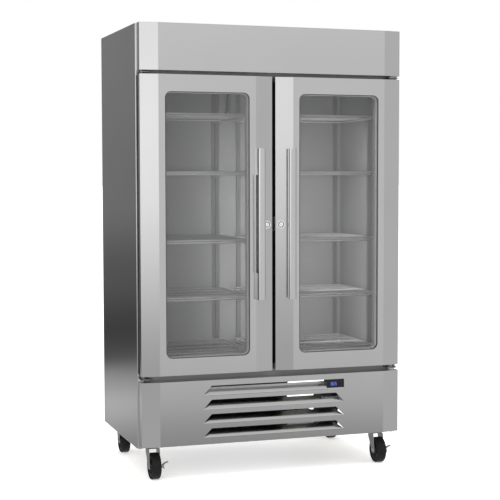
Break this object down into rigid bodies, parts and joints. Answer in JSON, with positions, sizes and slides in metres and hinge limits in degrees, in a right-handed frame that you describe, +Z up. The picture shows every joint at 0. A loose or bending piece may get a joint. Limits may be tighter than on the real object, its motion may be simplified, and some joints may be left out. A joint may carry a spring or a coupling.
{
  "type": "glass door merchandiser",
  "caption": "Upright stainless reach-in refrigerator with paired hinged glass doors, wire shelves, louvred machine compartment below and swivel casters.",
  "frame": {"origin": "on the floor, at the centre of the bounding box's footprint", "axes": "+Z up, the doors face -Y, +X to the right seen from the front"},
  "size_m": [1.321, 0.892, 2.15],
  "materials": {
    "stainless_skin": "satin",
    "stainless_door": "satin",
    "stainless_handle": "satin",
    "liner_metal": "satin",
    "mullion_trim": "matte",
    "foam": "matte",
    "door_glass": "gloss",
    "gasket": "matte",
    "light_diffuser": "satin",
    "evaporator_fins": "satin",
    "condenser_fins": "matte",
    "shelf_wire": "satin",
    "black_paint": "satin",
    "black_plastic": "satin",
    "caster_tread": "matte",
    "zinc_plate": "satin"
  },
  "bodies": {
    "cabinet": {"header_panel": "stainless_skin", "lower_panel": "stainless_skin", "side_panel_left": "stainless_skin", "side_panel_right": "stainless_skin", "roof_panel": "stainless_skin", "rear_panel": "stainless_skin", "foam_insulation": "foam", "inner_liner": "liner_metal", "centre_mullion": "mullion_trim", "light_bar": "light_diffuser", "rear_duct_panel": "liner_metal", "evaporator_coil": "evaporator_fins", "shelf_standard_far_left": "liner_metal", "shelf_standard_centre_left": "liner_metal", "shelf_standard_centre_right": "liner_metal", "shelf_standard_far_right": "liner_metal", "top_hinge_left": "zinc_plate", "bottom_hinge_left": "zinc_plate", "top_hinge_right": "zinc_plate", "bottom_hinge_right": "zinc_plate", "base_frame": "zinc_plate", "controller": "black_plastic", "condenser_coil": "condenser_fins", "condenser_shroud": "black_paint", "compressor": "black_paint", "electrical_box": "black_paint", "shelf_left_1": "shelf_wire", "shelf_left_2": "shelf_wire", "shelf_left_3": "shelf_wire", "shelf_left_4": "shelf_wire", "shelf_left_5": "shelf_wire", "shelf_right_1": "shelf_wire", "shelf_right_2": "shelf_wire", "shelf_right_3": "shelf_wire", "shelf_right_4": "shelf_wire", "shelf_right_5": "shelf_wire"},
    "left_door": {"left_door_frame": "stainless_door", "left_door_glass": "door_glass", "left_door_gasket": "gasket", "left_door_handle": "stainless_handle"},
    "left_lock": {"left_lock_plug": "zinc_plate"},
    "right_door": {"right_door_frame": "stainless_door", "right_door_glass": "door_glass", "right_door_gasket": "gasket", "right_door_handle": "stainless_handle"},
    "right_lock": {"right_lock_plug": "zinc_plate"},
    "caster_front_left": {"caster_fork_front_left": "zinc_plate"},
    "wheel_front_left": {"caster_wheel_front_left": "caster_tread"},
    "brake_front_left": {"brake_pedal_front_left": "zinc_plate"},
    "caster_front_right": {"caster_fork_front_right": "zinc_plate"},
    "wheel_front_right": {"caster_wheel_front_right": "caster_tread"},
    "brake_front_right": {"brake_pedal_front_right": "zinc_plate"},
    "caster_rear_left": {"caster_fork_rear_left": "zinc_plate"},
    "wheel_rear_left": {"caster_wheel_rear_left": "caster_tread"},
    "caster_rear_right": {"caster_fork_rear_right": "zinc_plate"},
    "wheel_rear_right": {"caster_wheel_rear_right": "caster_tread"},
    "button_up": {"button_up": "black_plastic"},
    "button_down": {"button_down": "black_plastic"},
    "condenser_fan": {"condenser_fan": "black_plastic"},
    "evaporator_fan": {"evaporator_fan": "black_plastic"}
  },
  "joints": [
    {"name": "left_door_hinge", "type": "hinge", "parent": "cabinet", "child": "left_door", "pos_m": [-0.64, -0.366, 1.2], "axis": [0, 0, -1], "range_deg": [0, 120]},
    {"name": "left_lock_turn", "type": "hinge", "parent": "left_door", "child": "left_lock", "pos_m": [-0.035, -0.39071, 1.209], "axis": [-0.1718, 0.9851, 0], "range_deg": [-90, 0]},
    {"name": "right_door_hinge", "type": "hinge", "parent": "cabinet", "child": "right_door", "pos_m": [0.64, -0.366, 1.2], "axis": [0, 0, 1], "range_deg": [0, 120]},
    {"name": "right_lock_turn", "type": "hinge", "parent": "right_door", "child": "right_lock", "pos_m": [0.035, -0.39071, 1.209], "axis": [0.1718, 0.9851, 0], "range_deg": [0, 90]},
    {"name": "swivel_front_left", "type": "hinge", "parent": "cabinet", "child": "caster_front_left", "pos_m": [-0.578, -0.278, 0.15], "axis": [0, 0, 1], "continuous": true},
    {"name": "roll_front_left", "type": "hinge", "parent": "caster_front_left", "child": "wheel_front_left", "pos_m": [-0.578, -0.314, 0.0635], "axis": [1, 0, 0], "continuous": true},
    {"name": "brake_press_front_left", "type": "hinge", "parent": "caster_front_left", "child": "brake_front_left", "pos_m": [-0.5385, -0.314, 0.058], "axis": [0, 1, 0], "range_deg": [0, 15]},
    {"name": "swivel_front_right", "type": "hinge", "parent": "cabinet", "child": "caster_front_right", "pos_m": [0.578, -0.278, 0.15], "axis": [0, 0, 1], "continuous": true},
    {"name": "roll_front_right", "type": "hinge", "parent": "caster_front_right", "child": "wheel_front_right", "pos_m": [0.578, -0.314, 0.0635], "axis": [1, 0, 0], "continuous": true},
    {"name": "brake_press_front_right", "type": "hinge", "parent": "caster_front_right", "child": "brake_front_right", "pos_m": [0.6175, -0.314, 0.058], "axis": [0, 1, 0], "range_deg": [0, 15]},
    {"name": "swivel_rear_left", "type": "hinge", "parent": "cabinet", "child": "caster_rear_left", "pos_m": [-0.578, 0.384, 0.15], "axis": [0, 0, 1], "continuous": true},
    {"name": "roll_rear_left", "type": "hinge", "parent": "caster_rear_left", "child": "wheel_rear_left", "pos_m": [-0.578, 0.348, 0.0635], "axis": [1, 0, 0], "continuous": true},
    {"name": "swivel_rear_right", "type": "hinge", "parent": "cabinet", "child": "caster_rear_right", "pos_m": [0.578, 0.384, 0.15], "axis": [0, 0, 1], "continuous": true},
    {"name": "roll_rear_right", "type": "hinge", "parent": "caster_rear_right", "child": "wheel_rear_right", "pos_m": [0.578, 0.348, 0.0635], "axis": [1, 0, 0], "continuous": true},
    {"name": "press_up", "type": "slide", "parent": "cabinet", "child": "button_up", "axis": [0, 1, 0], "range_m": [0, 0.0015], "stiffness_N_per_m": 300, "springref_m": -0.0005},
    {"name": "press_down", "type": "slide", "parent": "cabinet", "child": "button_down", "axis": [0, 1, 0], "range_m": [0, 0.0015], "stiffness_N_per_m": 300, "springref_m": -0.0005},
    {"name": "condenser_fan_spin", "type": "hinge", "parent": "cabinet", "child": "condenser_fan", "pos_m": [-0.1265, -0.221, 0.321], "axis": [0, 1, 0], "continuous": true},
    {"name": "evaporator_fan_spin", "type": "hinge", "parent": "cabinet", "child": "evaporator_fan", "pos_m": [0.185, 0.311, 1.8], "axis": [0, 1, 0], "continuous": true}
  ]
}
